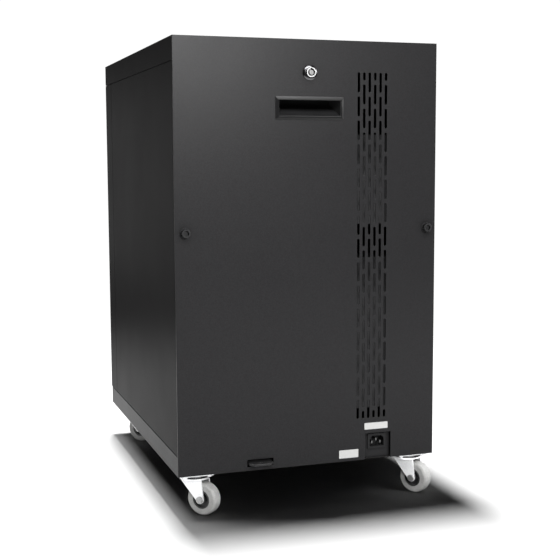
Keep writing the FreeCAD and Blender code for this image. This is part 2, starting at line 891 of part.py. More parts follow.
def make_caster_plates():
    """Square top plates, each with its ball race and its riveted kingpin."""
    half = caster_plate_size / 2
    head_top = fork_under_z - turning_gap
    holes = []
    for x, y in caster_screw_places():
        start = Vector(x, y, caster_plate_z - sheet)
        holes.append(rod(caster_screw_radius + press_fit, start, AXIS_Z, caster_plate + 2 * sheet))
    plates = []
    for x, y in caster_places().values():
        plate = joined([
            block((x - half, x + half), (y - half, y + half), (caster_plate_z, base_z)),
            rod(race_radius, Vector(x, y, race_low_z), AXIS_Z, race_height),
            rod(kingpin_radius, Vector(x, y, head_top), AXIS_Z, caster_plate_z - head_top),
            rod(kingpin_head_radius, Vector(x, y, head_top - kingpin_head), AXIS_Z, kingpin_head),
        ])
        plates.append(plate.cut(holes))
    return Part.Compound(plates)


def make_caster_screws():
    head_z = caster_plate_z - caster_screw_head
    screws = []
    for x, y in caster_screw_places():
        head = rod(caster_screw_head_radius, Vector(x, y, head_z), AXIS_Z, caster_screw_head)
        shank = rod(caster_screw_radius, Vector(x, y, head_z), AXIS_Z, floor_z - head_z)
        screws.append(joined([head, shank]))
    return Part.Compound(screws)


def tangent_point(corner, centre, radius, side):
    """Where a line from a corner touches a circle, on the given side of the line to its centre."""
    away_x = corner[0] - centre[0]
    away_z = corner[1] - centre[1]
    turn = math.atan2(away_z, away_x) + side * math.acos(radius / math.hypot(away_x, away_z))
    return (centre[0] + radius * math.cos(turn), centre[1] + radius * math.sin(turn))


def make_fork():
    top = fork_top_z
    under = fork_under_z
    leg_out = fork_gap / 2 + fork_sheet
    reach = math.sqrt(fork_radius ** 2 - leg_out ** 2)
    axle = (caster_trail, wheel_radius)
    lead = tangent_point((-reach, under), axle, fork_end_radius, 1)
    trail = tangent_point((reach, under), axle, fork_end_radius, -1)
    outline = [(-reach, top), (-reach, under), lead]
    edges = []
    for start, end in zip(outline, outline[1:]):
        edges.append(Part.LineSegment(Vector(start[0], 0, start[1]), Vector(end[0], 0, end[1])).toShape())
    lowest = Vector(axle[0], 0, axle[1] - fork_end_radius)
    edges.append(Part.Arc(Vector(lead[0], 0, lead[1]), lowest, Vector(trail[0], 0, trail[1])).toShape())
    closing = [trail, (reach, under), (reach, top), (-reach, top)]
    for start, end in zip(closing, closing[1:]):
        edges.append(Part.LineSegment(Vector(start[0], 0, start[1]), Vector(end[0], 0, end[1])).toShape())
    leg = Part.Face(Part.Wire(edges)).extrude(Vector(0, fork_sheet, 0))
    pieces = [rod(fork_radius, Vector(0, 0, under), AXIS_Z, fork_sheet)]
    for start in (fork_gap / 2, -leg_out):
        side = leg.copy()
        side.translate(Vector(0, start, 0))
        pieces.append(side)
    fork = joined(pieces)
    axle_start = Vector(caster_trail, -leg_out - fork_sheet, wheel_radius)
    return fork.cut([
        rod(kingpin_radius + running_fit, Vector(0, 0, under - fork_sheet), AXIS_Z, 3 * fork_sheet),
        rod(axle_radius + press_fit, axle_start, AXIS_Y, 2 * (leg_out + fork_sheet)),
    ])


def make_axle():
    leg_out = fork_gap / 2 + fork_sheet
    start = -leg_out - axle_head
    return joined([
        rod(axle_radius, Vector(caster_trail, start, wheel_radius), AXIS_Y, -2 * start),
        rod(axle_head_radius, Vector(caster_trail, start, wheel_radius), AXIS_Y, axle_head),
        rod(axle_head_radius, Vector(caster_trail, leg_out, wheel_radius), AXIS_Y, axle_head),
    ])


def wheel_ring(profile):
    ring = revolved(profile, AXIS_Y)
    ring.translate(Vector(caster_trail, 0, wheel_radius))
    return ring


def make_hub():
    bore = axle_radius + running_fit
    boss = fork_gap / 2 - turning_gap
    rim = tyre_width / 2
    web = hub_web / 2
    inner_rim = hub_radius - hub_rim
    return wheel_ring([
        (bore, -boss),
        (hub_boss_radius, -boss),
        (hub_boss_radius, -web),
        (inner_rim, -web),
        (inner_rim, -rim),
        (hub_radius, -rim),
        (hub_radius, rim),
        (inner_rim, rim),
        (inner_rim, web),
        (hub_boss_radius, web),
        (hub_boss_radius, boss),
        (bore, boss),
    ])


def make_tyre():
    bore = hub_radius + press_fit
    edge = tyre_width / 2
    ring = wheel_ring([
        (bore, -edge),
        (wheel_radius, -edge),
        (wheel_radius, edge),
        (bore, edge),
    ])
    rims = []
    for edge in ring.Edges:
        if isinstance(edge.Curve, Part.Circle) and edge.Curve.Radius > wheel_radius - press_fit:
            rims.append(edge)
    return ring.makeFillet(tyre_shoulder, rims)


def caster_piece(make, name):
    """A caster piece turned to the way its wheel trails and set on its swivel axis."""
    x, y = caster_places()[name]
    piece = make()
    piece.rotate(Vector(0, 0, 0), AXIS_Z, -caster_trail_angles[name])
    piece.translate(Vector(x, y, 0))
    return piece


def build():
    right_side = make_right_side_panel()
    right_rack = make_right_shelf_rack()
    turned_cam = upright(make_lock_cam())
    parts = {
        "top_cover": make_top_cover(),
        "base_tray": make_base_tray(),
        "left_side_panel": mirrored(right_side),
        "right_side_panel": right_side,
        "rear_frame": make_rear_frame(),
        "front_frame": make_front_frame(),
        "partition": make_partition(),
        "left_shelf_rack": mirrored(right_rack),
        "right_shelf_rack": right_rack,
        "power_unit": make_module(power_unit_z, power_unit_height),
        "charge_controller": make_module(controller_z, controller_height),
        "outlet_sockets": make_outlet_sockets(),
        "adapter_rack": make_adapter_rack(),
        "inlet_bracket": make_inlet_bracket(),
        "power_inlet": make_power_inlet(),
        "inlet_pins": make_inlet_pins(),
        "security_tab": make_security_tab(),
        "caster_plates": make_caster_plates(),
        "caster_screws": make_caster_screws(),
        "door_pins": make_door_pins(),
        "rear_panel": make_rear_panel(),
        "rear_handle_cup": on_panel(make_cup(), 0, rear_cup_z),
        "rear_lock_housing": on_panel(make_lock_housing(), 0, rear_lock_z),
        "rear_lock_plug": on_panel(make_lock_plug(), 0, rear_lock_z),
        "rear_lock_cam": on_panel(make_lock_cam(), 0, rear_lock_z),
        "left_thumbscrew": on_panel(make_thumbscrew(), -thumb_x, thumb_z),
        "left_screw_clip": on_panel(make_screw_clip(), -thumb_x, thumb_z),
        "right_thumbscrew": on_panel(make_thumbscrew(), thumb_x, thumb_z),
        "right_screw_clip": on_panel(make_screw_clip(), thumb_x, thumb_z),
        "front_door": make_front_door(),
        "front_handle_cup": on_door(upright(make_cup()), grip_x, door_cup_z),
        "front_lock_housing": on_door(make_lock_housing(), grip_x, door_lock_z),
        "front_lock_plug": on_door(make_lock_plug(), grip_x, door_lock_z),
        "front_lock_cam": on_door(turned_cam, grip_x, door_lock_z),
    }
    for index in range(bay_count):
        parts[f"shelf_{index + 1:02d}"] = make_shelf(index)
    for name in caster_places():
        parts[f"{name}_fork"] = caster_piece(make_fork, name)
        parts[f"{name}_axle"] = caster_piece(make_axle, name)
        parts[f"{name}_hub"] = caster_piece(make_hub, name)
        parts[f"{name}_tyre"] = caster_piece(make_tyre, name)
    return parts


os.makedirs("parts", exist_ok=True)
for node, shape in build().items():
    shape.exportStep(f"parts/{node}.step")
    print(node, "solids", len(shape.Solids), "valid", shape.isValid(), "volume", round(shape.Volume))
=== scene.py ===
import json
import math

import bmesh
import bpy
from mathutils import Matrix, Vector

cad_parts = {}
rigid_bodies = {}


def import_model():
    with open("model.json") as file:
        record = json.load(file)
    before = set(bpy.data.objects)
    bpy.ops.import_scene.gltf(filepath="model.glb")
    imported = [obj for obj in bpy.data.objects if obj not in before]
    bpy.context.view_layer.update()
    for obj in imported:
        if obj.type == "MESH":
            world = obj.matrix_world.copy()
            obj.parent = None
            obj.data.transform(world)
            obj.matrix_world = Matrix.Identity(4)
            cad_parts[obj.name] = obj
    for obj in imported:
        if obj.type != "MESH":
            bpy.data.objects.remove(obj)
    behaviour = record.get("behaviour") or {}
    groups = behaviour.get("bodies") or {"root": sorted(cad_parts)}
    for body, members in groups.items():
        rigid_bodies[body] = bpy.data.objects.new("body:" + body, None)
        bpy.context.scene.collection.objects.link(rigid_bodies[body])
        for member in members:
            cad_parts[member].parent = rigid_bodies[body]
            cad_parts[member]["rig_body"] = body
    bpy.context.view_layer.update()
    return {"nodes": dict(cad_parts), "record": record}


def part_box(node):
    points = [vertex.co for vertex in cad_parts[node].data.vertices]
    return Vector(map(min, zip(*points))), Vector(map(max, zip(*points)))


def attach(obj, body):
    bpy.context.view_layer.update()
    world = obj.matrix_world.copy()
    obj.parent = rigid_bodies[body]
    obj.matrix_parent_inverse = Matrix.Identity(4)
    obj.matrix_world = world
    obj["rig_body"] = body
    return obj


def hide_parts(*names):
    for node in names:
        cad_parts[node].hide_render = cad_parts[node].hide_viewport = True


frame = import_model()
nodes = frame["nodes"]
slot_of = {row["node"]: row["material_slot"] for row in frame["record"]["subparts"]}

# Cup handle: metres, shares, counts of steps, and degrees for sharp edges
CUP_SEAT = 0.0020
CUP_BEZEL_RISE = 0.0028
CUP_BEZEL_EDGE = 0.0005
CUP_BEZEL_CORNER = 0.0012
CUP_FRAME_END = 0.0058
CUP_FRAME_SIDE = 0.0060
CUP_FRONT_FLAT = 0.0006
CUP_LOW_FLAT = 0.0012
CUP_MOUTH_CORNER = 0.0010
CUP_MOUTH_ROUND = 0.0016
CUP_TOP_LIP_SHARE = 0.3
CUP_DEPTH = 0.0200
CUP_WALL = 0.0014
CUP_LIP = 0.0012
CUP_SCOOP_RISE = 0.0175
CUP_SCOOP_START = 0.55
CUP_END_ROUND = 0.0110
CUP_BACK_CORNER = 0.0024
CUP_STEPS = 14
CUP_SHARP_ANGLE = 28.0
ROUND_STEPS = 5
CORNER_STEPS = 6

# Blank labels: left and right from the middle, low and high from the rear panel's lower edge, metres
INLET_LABEL = (0.0913, 0.1310, 0.0480, 0.0585)
PLAIN_STICKER = (0.0485, 0.0810, 0.0050, 0.0180)
LABEL_THICKNESS = 0.00015
LABEL_CORNER = 0.0008

# Inner modules: painted shade on the upper part of their faces, metres below the top
TOP_SHADE_START = 0.063
TOP_SHADE_FULL = 0.028

# Skins, metres: rounding of edges, width of gaps that take painted shade, depth of grain
PAINT_EDGE = 0.0009
PAINT_GAP = 0.014
PAINT_RIPPLE = 0.00006
PAINT_PEBBLE = 0.00003
PLASTIC_EDGE = 0.0006
PLASTIC_GRAIN = 0.00002
ZINC_GAP = 0.010
ZINC_SCUFF = 0.00002
LOCK_GAP = 0.004
LOCK_HAZE = 0.000008
RUBBER_GRAIN = 0.00003
PAPER_FIBRE = 0.00001

# Tones that several finishes share: painted shade in gaps, the share of a paint's dark tone that its
# painted shade keeps, and lighter edges that are partly rubbed wear, partly a painted edge highlight
PAINTED_GAP_SHADE = (0.02, 0.02, 0.02)
PAINTED_SHADE_SHARE = 0.4
RUBBED_AND_LIT_PAINT = (0.08, 0.08, 0.08)

# Camera, from the photograph's vanishing points
CAMERA_PLACE = Vector((-0.5729, -1.8279, 0.5333))
CAMERA_YAW = math.radians(18.701)
CAMERA_PITCH = math.radians(6.187)
CAMERA_ROLL = math.radians(-0.233)
CAMERA_LENS = 69.98
CAMERA_SENSOR = 36.0

# Studio: the floor in metres, and the brightness of backdrop and room
FLOOR_RADIUS = 1.9
FLOOR_FADE_START = 0.9
FLOOR_SIDES = 96
BACKDROP_BRIGHT = 1.05
ROOM_BRIGHT = 0.02

# Soft lights: place, aim and size in metres, watts, and the group of pieces that is lit
LIGHTS = {
    "floor_light": ((-0.09, 0.67, 5.4), (-0.09, 0.67, 0.0), (0.44, 1.16), 940.0, "floor_alone"),
    "floor_side": ((-1.5, 0.67, 5.4), (-1.5, 0.67, 0.0), (2.4, 1.0), 190.0, "floor_alone"),
    "top_light": ((-0.06, 0.72, 5.4), (-0.06, 0.72, 0.0), (2.2, 1.27), 360.0, "all_pieces"),
    "key_light": ((0.30, -2.7, 1.15), (-0.15, -0.28, 0.62), (0.7, 0.7), 69.0, "key_pieces"),
    "fill_light": ((0.0, -1.35, 1.75), (0.0, -0.28, 0.5), (1.6, 0.8), 27.5, "all_pieces"),
    "card": ((-1.6, 3.0, 0.45), (-0.21, 0.0, 0.45), (3.0, 1.2), 4.2, "all_pieces"),
    "left_light": ((-2.0, -0.4, 0.8), (-0.21, 0.0, 0.4), (1.2, 1.0), 12.5, "all_pieces"),
    "low_card": ((0.3, -0.85, 0.01), (0.1, -0.28, 0.3), (1.6, 0.5), 3.2, "low_pieces"),
    "caster_light": ((-0.7, -1.7, 0.12), (0.17, -0.2, 0.04), (0.6, 0.2), 22.0, "right_forks"),
    "module_light": ((-0.57, -1.83, 0.56), (0.11, -0.264, 0.36), (0.25, 0.25), 30.0, "modules"),
    "door_light": ((0.7, 2.3, 1.5), (0.0, 0.28, 0.4), (1.2, 1.0), 110.0, "all_pieces"),
    "side_light": ((2.4, 0.0, 1.3), (0.21, 0.0, 0.35), (1.2, 1.0), 80.0, "all_pieces"),
}


# Shader building

def new_material(name):
    """A node material with its texture coordinates in metres and its main shader."""
    material = bpy.data.materials.new(name)
    material.use_nodes = True
    tree = material.node_tree
    shader = tree.nodes["Principled BSDF"]
    place = tree.nodes.new("ShaderNodeTexCoord")
    return material, tree, shader, place.outputs["Object"]


def noise(tree, place, scale, detail=3.0, roughness=0.55):
    texture = tree.nodes.new("ShaderNodeTexNoise")
    texture.inputs["Scale"].default_value = scale
    texture.inputs["Detail"].default_value = detail
    texture.inputs["Roughness"].default_value = roughness
    tree.links.new(place, texture.inputs["Vector"])
    return texture.outputs["Fac"]


def spread(tree, value, low, high, start=0.3, end=0.7):
    """A value's range from start to end, stretched from low to high."""
    ranged = tree.nodes.new("ShaderNodeMapRange")
    ranged.inputs["From Min"].default_value = start
    ranged.inputs["From Max"].default_value = end
    ranged.inputs["To Min"].default_value = low
    ranged.inputs["To Max"].default_value = high
    tree.links.new(value, ranged.inputs["Value"])
    return ranged.outputs["Result"]


def mixed(tree, factor, low, high):
    """A colour between two, each of them a plain colour or the output of another node."""
    mix = tree.nodes.new("ShaderNodeMix")
    mix.data_type = "RGBA"
    for socket, colour in (("A", low), ("B", high)):
        if isinstance(colour, tuple):
            mix.inputs[socket].default_value = (*colour, 1.0)
        else:
            tree.links.new(colour, mix.inputs[socket])
    tree.links.new(factor, mix.inputs["Factor"])
    return mix.outputs["Result"]


def bump(tree, height, distance, normal=None):
    lifted = tree.nodes.new("ShaderNodeBump")
    lifted.inputs["Distance"].default_value = distance
    tree.links.new(height, lifted.inputs["Height"])
    if normal is not None:
        tree.links.new(normal, lifted.inputs["Normal"])
    return lifted.outputs["Normal"]


def stretched(tree, place, x, y, z):
    """Texture coordinates scaled differently along each axis, for brushed grain."""
    mapping = tree.nodes.new("ShaderNodeMapping")
    mapping.inputs["Scale"].default_value = (x, y, z)
    tree.links.new(place, mapping.inputs["Vector"])
    return mapping.outputs["Vector"]


def rounded_edges(tree, size):
    """The surface's direction as if its sharp edges were rounded."""
    rounded = tree.nodes.new("ShaderNodeBevel")
    rounded.samples = 4
    rounded.inputs["Radius"].default_value = size
    return rounded.outputs["Normal"]


def worn_and_lit_edges(tree, rounded, colour, wear_and_highlight, amount):
    """The colour turned lighter where the surface bends sharply: partly rubbed wear, partly a painted
    highlight along the edge.
    """
    geometry = tree.nodes.new("ShaderNodeNewGeometry")
    aligned = tree.nodes.new("ShaderNodeVectorMath")
    aligned.operation = "DOT_PRODUCT"
    tree.links.new(rounded, aligned.inputs[0])
    tree.links.new(geometry.outputs["Normal"], aligned.inputs[1])
    edge = spread(tree, aligned.outputs["Value"], amount, 0.0, 0.75, 0.98)
    return mixed(tree, edge, colour, wear_and_highlight)


def openness(tree, reach, start, end):
    """Nought where a surface lies in a narrow gap, one where it lies in the clear; the finishes darken by
    it to paint shade into gaps.
    """
    gap = tree.nodes.new("ShaderNodeAmbientOcclusion")
    gap.samples = 6
    gap.inputs["Distance"].default_value = reach
    return spread(tree, gap.outputs["AO"], 0.0, 1.0, start, end)


# Finishes

def powder_coat(name, dark, light, wear_and_highlight, gloss, shine, shaded_top=None):
    """Baked powder paint with a fine pebbled skin, painted shade in narrow gaps, and painted shade below
    its top where a height is given.
    """
    material, tree, shader, place = new_material(name)
    cloud = noise(tree, place, 9.0, 4.0)
    speck = noise(tree, place, 700.0, 2.0)
    pebble = noise(tree, place, 1100.0, 2.0, 0.6)
    ripple = noise(tree, place, 260.0, 2.0)
    rounded = rounded_edges(tree, PAINT_EDGE)
    colour = mixed(tree, spread(tree, speck, 0.0, 1.0), dark, light)
    # Lighter sharp edges: partly rubbed wear, partly a painted edge highlight.
    colour = worn_and_lit_edges(tree, rounded, colour, wear_and_highlight, 0.35)
    # Painted shade: the paint turns dark in narrow gaps and beside raised parts, where shade falls.
    clear = openness(tree, PAINT_GAP, 0.35, 0.95)
    painted_shade_tone = tuple(PAINTED_SHADE_SHARE * channel for channel in dark)
    # Painted shade: the paint turns dark towards the given top height, as the shade on an inner module's
    # upper face.
    if shaded_top is not None:
        apart = tree.nodes.new("ShaderNodeSeparateXYZ")
        tree.links.new(place, apart.inputs[0])
        start = shaded_top - TOP_SHADE_START
        full = shaded_top - TOP_SHADE_FULL
        colour = mixed(tree, spread(tree, apart.outputs["Z"], 0.0, 1.0, start, full), colour, painted_shade_tone)
    tree.links.new(mixed(tree, clear, painted_shade_tone, colour), shader.inputs["Base Color"])
    tree.links.new(spread(tree, cloud, gloss - 0.02, gloss + 0.02), shader.inputs["Roughness"])
    shader.inputs["Specular IOR Level"].default_value = shine
    normal = bump(tree, ripple, PAINT_RIPPLE, rounded)
    tree.links.new(bump(tree, pebble, PAINT_PEBBLE, normal), shader.inputs["Normal"])
    return material


def plated_steel(name, bright, dull, smooth, rough, metal):
    """Zinc on pressed steel, with faint spangle and rubbing marks, and painted shade in its gaps."""
    material, tree, shader, place = new_material(name)
    spangle = tree.nodes.new("ShaderNodeTexVoronoi")
    spangle.inputs["Scale"].default_value = 420.0
    tree.links.new(place, spangle.inputs["Vector"])
    colour = mixed(tree, spread(tree, spangle.outputs["Distance"], 0.0, 1.0, 0.0, 0.8), bright, dull)
    # Painted shade: the zinc turns dark in narrow gaps, as under the cabinet and between plate and crown.
    colour = mixed(tree, openness(tree, ZINC_GAP, 0.25, 0.60), PAINTED_GAP_SHADE, colour)
    tree.links.new(colour, shader.inputs["Base Color"])
    scuff = noise(tree, stretched(tree, place, 60.0, 60.0, 900.0), 1.0, 3.0)
    tree.links.new(spread(tree, scuff, smooth, rough), shader.inputs["Roughness"])
    tree.links.new(bump(tree, scuff, ZINC_SCUFF), shader.inputs["Normal"])
    shader.inputs["Metallic"].default_value = metal
    return material


def lock_plate(name, dome, turned):
    """Dark polished nickel, with satin turned faces across the lock's axis, and painted shade in its gaps.
    """
    material, tree, shader, place = new_material(name)
    haze = noise(tree, place, 500.0, 3.0)
    geometry = tree.nodes.new("ShaderNodeNewGeometry")
    own = tree.nodes.new("ShaderNodeVectorTransform")
    own.vector_type = "NORMAL"
    own.convert_from = "WORLD"
    own.convert_to = "OBJECT"
    tree.links.new(geometry.outputs["True Normal"], own.inputs[0])
    apart = tree.nodes.new("ShaderNodeSeparateXYZ")
    tree.links.new(own.outputs[0], apart.inputs[0])
    across = tree.nodes.new("ShaderNodeMath")
    across.operation = "ABSOLUTE"
    tree.links.new(apart.outputs["Y"], across.inputs[0])
    flat = spread(tree, across.outputs["Value"], 0.0, 1.0, 0.985, 0.995)
    colour = mixed(tree, flat, dome, turned)
    # Painted shade: the plate turns dark in the lock's narrow gaps.
    colour = mixed(tree, openness(tree, LOCK_GAP, 0.25, 0.60), PAINTED_GAP_SHADE, colour)
    tree.links.new(colour, shader.inputs["Base Color"])
    rough = spread(tree, flat, 0.0, 0.34, 0.0, 1.0)
    tree.links.new(spread(tree, haze, 0.18, 0.24), rough.node.inputs["To Min"])
    tree.links.new(rough, shader.inputs["Roughness"])
    tree.links.new(bump(tree, haze, LOCK_HAZE), shader.inputs["Normal"])
    shader.inputs["Metallic"].default_value = 1.0
    return material


def nickel_plate(name):
    material, tree, shader, place = new_material(name)
    grain = noise(tree, place, 900.0, 3.0)
    colour = mixed(tree, grain, (0.10, 0.10, 0.10), (0.15, 0.15, 0.15))
    tree.links.new(colour, shader.inputs["Base Color"])
    tree.links.new(spread(tree, grain, 0.30, 0.42), shader.inputs["Roughness"])
    shader.inputs["Metallic"].default_value = 1.0
    return material


def moulded_plastic(name, dark, light, wear_and_highlight, gloss, shine):
    """Injection-moulded plastic with a fine spark-eroded grain."""
    material, tree, shader, place = new_material(name)
    grain = noise(tree, place, 1500.0, 2.0, 0.6)
    cloud = noise(tree, place, 40.0, 3.0)
    colour = mixed(tree, spread(tree, cloud, 0.0, 1.0), dark, light)
    rounded = rounded_edges(tree, PLASTIC_EDGE)
    # Lighter sharp edges: partly rubbed wear, partly a painted edge highlight.
    tree.links.new(worn_and_lit_edges(tree, rounded, colour, wear_and_highlight, 0.3), shader.inputs["Base Color"])
    tree.links.new(spread(tree, cloud, gloss - 0.05, gloss + 0.05), shader.inputs["Roughness"])
    shader.inputs["Specular IOR Level"].default_value = shine
    tree.links.new(bump(tree, grain, PLASTIC_GRAIN, rounded), shader.inputs["Normal"])
    return material


def tyre_rubber(name):
    """Light grey non-marking rubber, matt, with dirt and small scuffs in its shade."""
    material, tree, shader, place = new_material(name)
    dirt = noise(tree, place, 85.0, 5.0, 0.65)
    speck = noise(tree, place, 420.0, 3.0, 0.6)
    grain = noise(tree, place, 1300.0, 2.0)
    clean = mixed(tree, spread(tree, dirt, 0.0, 1.0), (0.23, 0.23, 0.226), (0.32, 0.32, 0.313))
    colour = mixed(tree, spread(tree, speck, 0.0, 0.45, 0.52, 0.75), clean, (0.16, 0.16, 0.155))
    tree.links.new(colour, shader.inputs["Base Color"])
    tree.links.new(spread(tree, dirt, 0.55, 0.72), shader.inputs["Roughness"])
    tree.links.new(bump(tree, grain, RUBBER_GRAIN), shader.inputs["Normal"])
    return material


def label_paper(name):
    material, tree, shader, place = new_material(name)
    fibre = noise(tree, place, 600.0, 4.0, 0.7)
    colour = mixed(tree, fibre, (0.355, 0.355, 0.35), (0.43, 0.43, 0.423))
    tree.links.new(colour, shader.inputs["Base Color"])
    tree.links.new(spread(tree, fibre, 0.42, 0.58), shader.inputs["Roughness"])
    tree.links.new(bump(tree, fibre, PAPER_FIBRE), shader.inputs["Normal"])
    return material


def studio_floor(name):
    material, tree, shader, place = new_material(name)
    cloud = noise(tree, place, 2.0, 3.0)
    colour = mixed(tree, cloud, (0.39, 0.39, 0.39), (0.41, 0.41, 0.41))
    tree.links.new(colour, shader.inputs["Base Color"])
    shader.inputs["Roughness"].default_value = 0.75
    shader.inputs["Specular IOR Level"].default_value = 0.1
    reach = tree.nodes.new("ShaderNodeVectorMath")
    reach.operation = "LENGTH"
    tree.links.new(place, reach.inputs[0])
    fade = spread(tree, reach.outputs["Value"], 1.0, 0.0, FLOOR_FADE_START, FLOOR_RADIUS)
    tree.links.new(fade, shader.inputs["Alpha"])
    return material


FINISHES = {
    "powder_black": powder_coat(
        "powder_black", (0.0116, 0.0114, 0.0120), (0.0172, 0.0170, 0.0178), RUBBED_AND_LIT_PAINT, 0.33, 0.08),
    "inner_grey": powder_coat(
        "inner_grey", (0.22, 0.22, 0.225), (0.28, 0.28, 0.285), (0.36, 0.36, 0.36), 0.50, 0.20),
    "zinc_steel": plated_steel("zinc_steel", (0.88, 0.885, 0.89), (0.79, 0.795, 0.805), 0.30, 0.45, 0.55),
    "chrome": lock_plate("lock_plate", (0.13, 0.13, 0.134), (0.22, 0.22, 0.22)),
    "black_plastic": moulded_plastic(
        "black_plastic", (0.014, 0.014, 0.0145), (0.020, 0.020, 0.021), (0.06, 0.06, 0.063), 0.40, 0.50),
    "brass": nickel_plate("nickel"),
    "grey_tyre": tyre_rubber("grey_tyre"),
}
SIDE_COAT = powder_coat(
    "side_coat", (0.0118, 0.0114, 0.0116), (0.0174, 0.0170, 0.0172), RUBBED_AND_LIT_PAINT, 0.33, 0.006)
BASE_COAT = powder_coat(
    "base_coat", (0.0106, 0.0103, 0.0105), (0.0157, 0.0153, 0.0155), RUBBED_AND_LIT_PAINT, 0.33, 0.03)
CUP_BEZEL = moulded_plastic(
    "cup_bezel", (0.008, 0.008, 0.0085), (0.012, 0.012, 0.0125), (0.05, 0.05, 0.053), 0.40, 0.50)
INLET_PLASTIC = moulded_plastic(
    "inlet_plastic", (0.010, 0.010, 0.0105), (0.014, 0.014, 0.0145), (0.03, 0.03, 0.031), 0.55, 0.10)
CUP_INSIDE = moulded_plastic(
    "cup_inside", (0.016, 0.016, 0.0165), (0.022, 0.022, 0.023), (0.022, 0.022, 0.023), 0.55, 0.10)
# Inner modules' paint, with painted shade towards each module's top.
MODULE_SHELLS = {
    node: powder_coat(
        node + "_shell", (0.017, 0.017, 0.0174), (0.023, 0.023, 0.0235), (0.04, 0.04, 0.04), 0.50, 0.08,
        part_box(node)[1].z)
    for node in ("power_unit", "charge_controller")
}
# Tab paint whose light edge tone stands in for a painted glint along the tab's edges, with some rubbed
# wear.
TAB_PAINT = powder_coat(
    "tab_paint", (0.018, 0.018, 0.0185), (0.028, 0.028, 0.0285), (0.30, 0.30, 0.30), 0.36, 0.08)
KNOB = moulded_plastic(
    "knob", (0.015, 0.015, 0.0155), (0.021, 0.021, 0.022), (0.05, 0.05, 0.052), 0.45, 0.10)
PLUG = lock_plate("lock_plug", (0.12, 0.12, 0.12), (0.11, 0.11, 0.11))
AXLE_STEEL = plated_steel("axle_steel", (0.42, 0.42, 0.42), (0.34, 0.34, 0.34), 0.30, 0.45, 0.80)
PAPER = label_paper("label_paper")


# Mesh building

def rounded_rectangle(half, low, high, corner, y):
    """Points round a rectangle with round corners, across Y, the same count for every size."""
    centres = ((half, high, 0), (-half, high, 1), (-half, low, 2), (half, low, 3))
    points = []
    for x, z, quarter in centres:
        middle_x = x - math.copysign(corner, x)
        middle_z = z - corner if quarter < 2 else z + corner
        for step in range(CORNER_STEPS + 1):
            turn = math.radians(90) * (quarter + step / CORNER_STEPS)
            point_x = middle_x + corner * math.cos(turn)
            point_z = middle_z + corner * math.sin(turn)
            points.append(Vector((point_x, y, point_z)))
    return points


def lofted(name, rings, finishes, inside=None):
    """A closed mesh through rings of points, with a second finish from the inside ring on."""
    count = len(rings[0])
    points = [tuple(point) for ring in rings for point in ring]
    faces = [tuple(reversed(range(count)))]
    for ring in range(len(rings) - 1):
        start = ring * count
        for index in range(count):
            after = (index + 1) % count
            upper = start + count
            faces.append((start + index, start + after, upper + after, upper + index))
    faces.append(tuple(range(len(points) - count, len(points))))
    mesh = bpy.data.meshes.new(name)
    mesh.from_pydata(points, [], faces)
    for finish in finishes:
        mesh.materials.append(finish)
    if inside is not None:
        for face in mesh.polygons[1 + inside * count:]:
            face.material_index = 1
    face_out(mesh)
    piece = bpy.data.objects.new(name, mesh)
    bpy.context.scene.collection.objects.link(piece)
    return piece


def face_out(mesh):
    shell = bmesh.new()
    shell.from_mesh(mesh)
    bmesh.ops.recalc_face_normals(shell, faces=shell.faces)
    shell.to_mesh(mesh)
    shell.free()


def shade_by_angle(mesh, degrees):
    mesh.shade_smooth()
    mesh.set_sharp_from_angle(angle=math.radians(degrees))


# CAD nodes' finishes

def node_finish(name):
    if name in MODULE_SHELLS:
        return MODULE_SHELLS[name]
    if name in ("left_side_panel", "right_side_panel", "top_cover", "front_door"):
        return SIDE_COAT
    if name == "base_tray":
        return BASE_COAT
    if name == "security_tab":
        return TAB_PAINT
    if name.startswith("power_inlet"):
        return INLET_PLASTIC
    if name.endswith("_thumbscrew"):
        return KNOB
    if name.endswith("_lock_plug"):
        return PLUG
    if name.endswith("_axle"):
        return AXLE_STEEL
    return FINISHES[slot_of[name]]


for node_name, node in nodes.items():
    node.data.materials.clear()
    node.data.materials.append(node_finish(node_name))


# Cup handles, made lying along X with the face at y = 0 and the cup towards +Y

def cup_rings(length, height):
    """Rings from the cup's back, out round the bezel and into the scoop, and the scoop's first ring."""
    half = length / 2
    top = height / 2
    mouth = half - CUP_FRAME_END
    mouth_top = top - CUP_FRAME_SIDE

    def bezel_ring(y):
        return rounded_rectangle(half, -top, top, CUP_BEZEL_CORNER, y)

    def mouth_ring(grow, y, drop=0.0):
        high = mouth_top + CUP_TOP_LIP_SHARE * grow
        return rounded_rectangle(mouth + grow, -mouth_top - grow - drop, high, CUP_MOUTH_CORNER, y)

    def scoop_ring(share, grow):
        climb = share * (CUP_SCOOP_START + (1 - CUP_SCOOP_START) * share)
        low = CUP_SCOOP_RISE * climb - mouth_top - grow
        high = mouth_top + CUP_LIP + grow
        corner = CUP_MOUTH_CORNER + (CUP_BACK_CORNER - CUP_MOUTH_CORNER) * share
        wide = mouth - CUP_END_ROUND * share ** 2 + grow
        return rounded_rectangle(wide, low, high, corner, CUP_DEPTH * share + grow)

    shares = [step / CUP_STEPS for step in range(1, CUP_STEPS + 1)]
    rings = [scoop_ring(share, CUP_WALL) for share in reversed(shares)]
    rings.append(mouth_ring(CUP_WALL, 0.0))
    rings.append(bezel_ring(0.0))
    rings.append(bezel_ring(-CUP_BEZEL_EDGE))
    rings.append(mouth_ring(CUP_MOUTH_ROUND + CUP_FRONT_FLAT, -CUP_BEZEL_RISE, CUP_LOW_FLAT))
    for step in range(ROUND_STEPS + 1):
        turn = math.radians(90) * step / ROUND_STEPS
        grow = CUP_MOUTH_ROUND * (1 - math.sin(turn))
        rings.append(mouth_ring(grow, CUP_MOUTH_ROUND * (1 - math.cos(turn)) - CUP_BEZEL_RISE))
    inside = len(rings) - 1
    rings.append(mouth_ring(0.0, 0.0))
    rings.extend(scoop_ring(share, 0.0) for share in shares)
    return rings, inside


